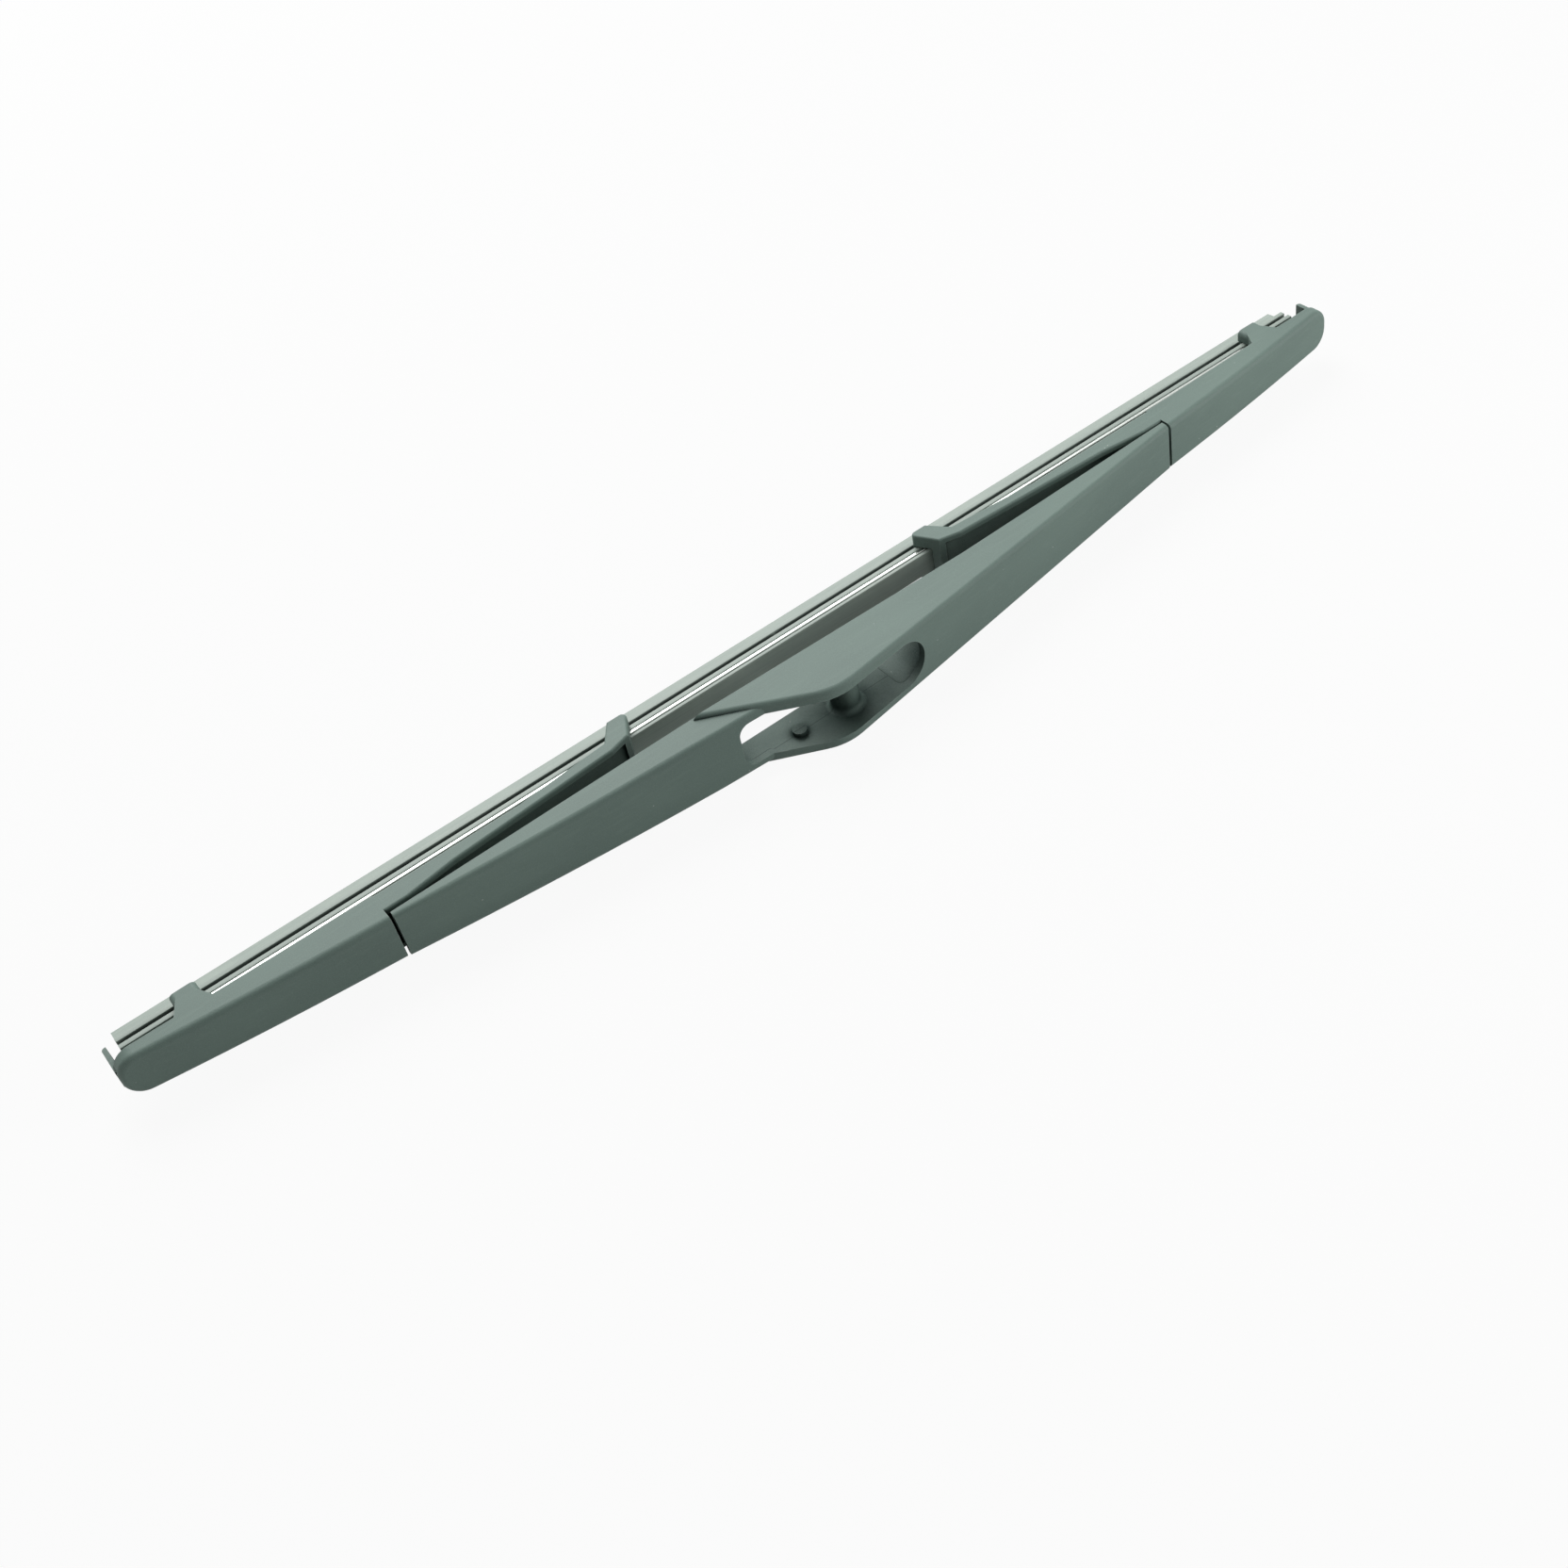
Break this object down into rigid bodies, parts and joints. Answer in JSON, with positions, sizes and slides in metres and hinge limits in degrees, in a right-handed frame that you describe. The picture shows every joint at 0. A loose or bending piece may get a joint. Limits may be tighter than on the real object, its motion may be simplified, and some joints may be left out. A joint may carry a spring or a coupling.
{
  "type": "rear wiper blade",
  "caption": "Rear window wiper blade: hollow moulded bridge with a cross pin in a window for the arm, hinged end yokes with claws, and a rubber squeegee held flat by spring strips.",
  "frame": {"origin": "middle of the cross pin in the bridge's window, which the wiper arm grips", "axes": "+X along the blade towards its right yoke, +Y from the bridge to the glass, +Z across the blade along the cross pin; the blade lies on its side"},
  "size_m": [0.3464, 0.0377, 0.0188],
  "materials": {
    "moulding": "fine matte grain",
    "rubber": "satin",
    "spring_steel": "bright rolled"
  },
  "bodies": {
    "bridge": {"bridge": "moulding", "squeegee": "rubber", "spring_strip_near": "spring_steel", "spring_strip_far": "spring_steel"},
    "yoke_left": {"yoke_left": "moulding"},
    "yoke_right": {"yoke_right": "moulding"}
  },
  "joints": [
    {"name": "yoke_left_hinge", "type": "hinge", "parent": "bridge", "child": "yoke_left", "pos_m": [-0.1077, 0.0121, 0], "axis": [0, 0, 1], "range_deg": [-5, 5], "stiffness_Nm_per_rad": 1.5, "deforming": ["squeegee", "spring_strip_near", "spring_strip_far"]},
    {"name": "yoke_right_hinge", "type": "hinge", "parent": "bridge", "child": "yoke_right", "pos_m": [0.1033, 0.0121, 0], "axis": [0, 0, 1], "range_deg": [-5, 5], "stiffness_Nm_per_rad": 1.5, "deforming": ["squeegee", "spring_strip_near", "spring_strip_far"]}
  ]
}
